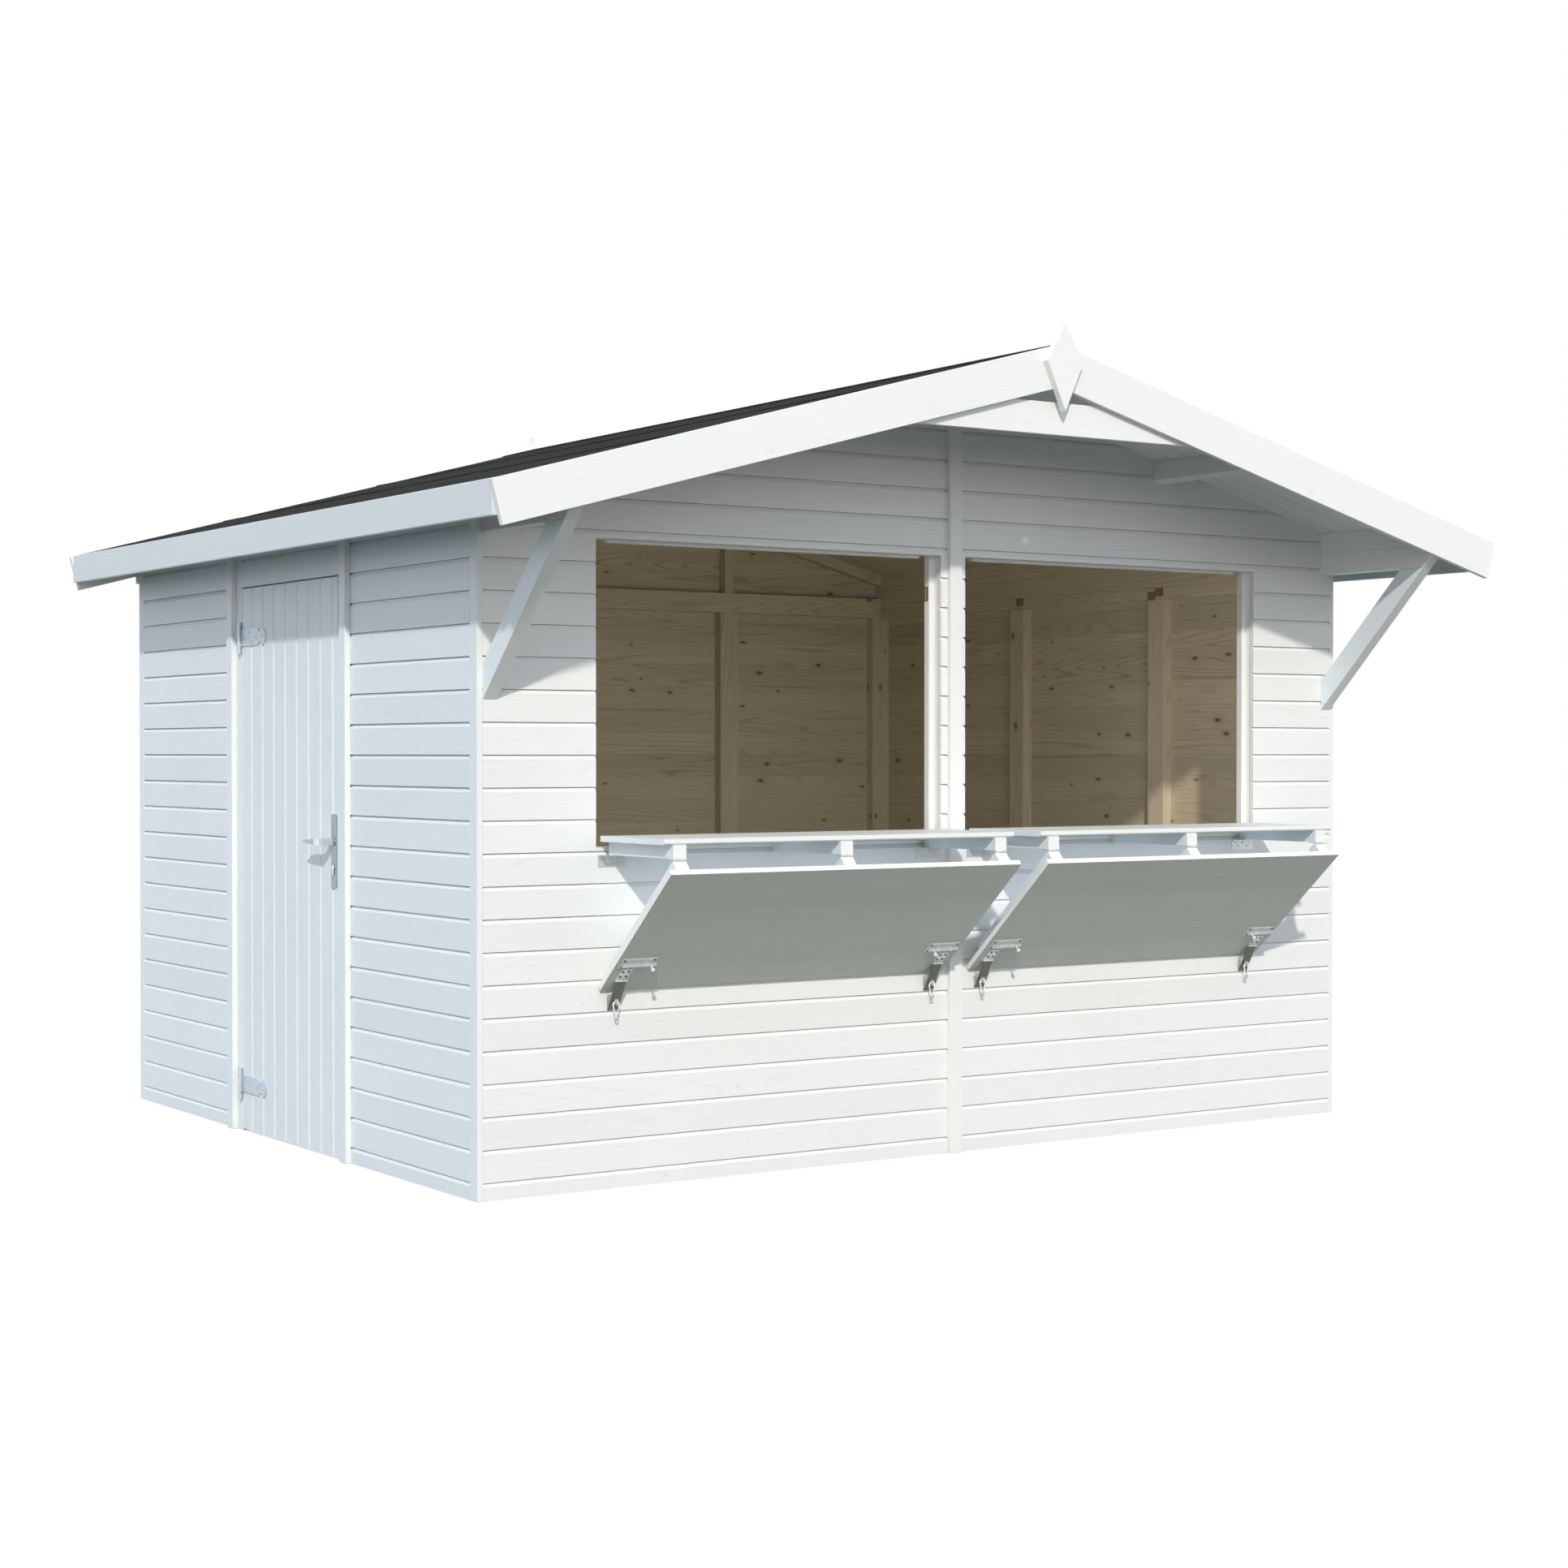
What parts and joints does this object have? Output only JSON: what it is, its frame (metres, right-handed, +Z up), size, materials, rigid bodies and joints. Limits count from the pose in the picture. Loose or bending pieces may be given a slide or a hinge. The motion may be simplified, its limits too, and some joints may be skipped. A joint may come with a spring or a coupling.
{
  "type": "wooden market hut",
  "caption": "Painted timber market hut with a felted gable roof, deep front overhang on braces, folding serving hatches and a hinged side door with a lever handle.",
  "frame": {"origin": "middle of the whole object's box at ground level, under the ridge", "axes": "+X across the serving front, +Y from the serving front to the back, +Z up; the door wall faces -X"},
  "size_m": [3.97, 3.508, 2.6547],
  "materials": {
    "paint_front": "warm white painted softwood, faint grain",
    "paint_side": "white painted softwood, faint grain",
    "paint_shade": "white painted softwood, faint grain",
    "bare_pine": "bare planed pine with knots",
    "roofing_felt": "mineral roofing felt, matt black",
    "zinc": "galvanised steel",
    "handle_metal": "satin aluminium"
  },
  "bodies": {
    "hut": {"front_apron": "paint_front", "front_piers": "paint_front", "front_gable": "paint_front", "front_joint_batten": "paint_front", "hatch_stops": "paint_front", "back_wall": "paint_front", "back_gable": "paint_front", "bargeboards_left": "paint_front", "bargeboards_right": "paint_front", "front_tie_board": "paint_front", "finials": "paint_front", "braces": "paint_front", "hatch_counters": "paint_front", "hatch_counter_battens": "paint_front", "hatch_flap_battens": "paint_front", "right_wall": "paint_side", "left_wall_front": "paint_side", "left_wall_back": "paint_side", "left_wall_over_door": "paint_side", "door_posts": "paint_side", "door_battens": "paint_side", "corner_battens": "paint_side", "wall_plates": "paint_shade", "eave_purlins": "paint_shade", "mid_purlins": "paint_shade", "ridge_purlin": "paint_shade", "roof_boards_left": "paint_shade", "roof_boards_right": "paint_shade", "eaves_fascias": "paint_shade", "hatch_flaps": "paint_shade", "front_posts": "bare_pine", "front_rails": "bare_pine", "back_posts": "bare_pine", "back_rails": "bare_pine", "side_posts": "bare_pine", "side_rails": "bare_pine", "gable_rafters": "bare_pine", "roof_felt_left": "roofing_felt", "roof_felt_right": "roofing_felt", "counter_hinges": "zinc", "flap_hinges": "zinc", "hatch_hasps": "zinc", "hatch_staples": "zinc", "hatch_bolts": "zinc", "door_hinge_pins": "zinc"},
    "door": {"door_leaf": "paint_side", "door_ledges": "bare_pine", "door_hinge_straps": "zinc", "handle_plate": "handle_metal"},
    "handle": {"door_lever": "handle_metal"}
  },
  "joints": [
    {"name": "door_hinge", "type": "hinge", "parent": "hut", "child": "door", "pos_m": [-1.7595, 0.605, 0.165], "axis": [0, 0, -1], "range_deg": [0, 110]},
    {"name": "lever_turn", "type": "hinge", "parent": "door", "child": "handle", "pos_m": [-1.802, -0.175, 1.03], "axis": [-1, 0, 0], "range_deg": [0, 40], "stiffness_Nm_per_rad": 1.2, "springref_deg": -17.19}
  ]
}
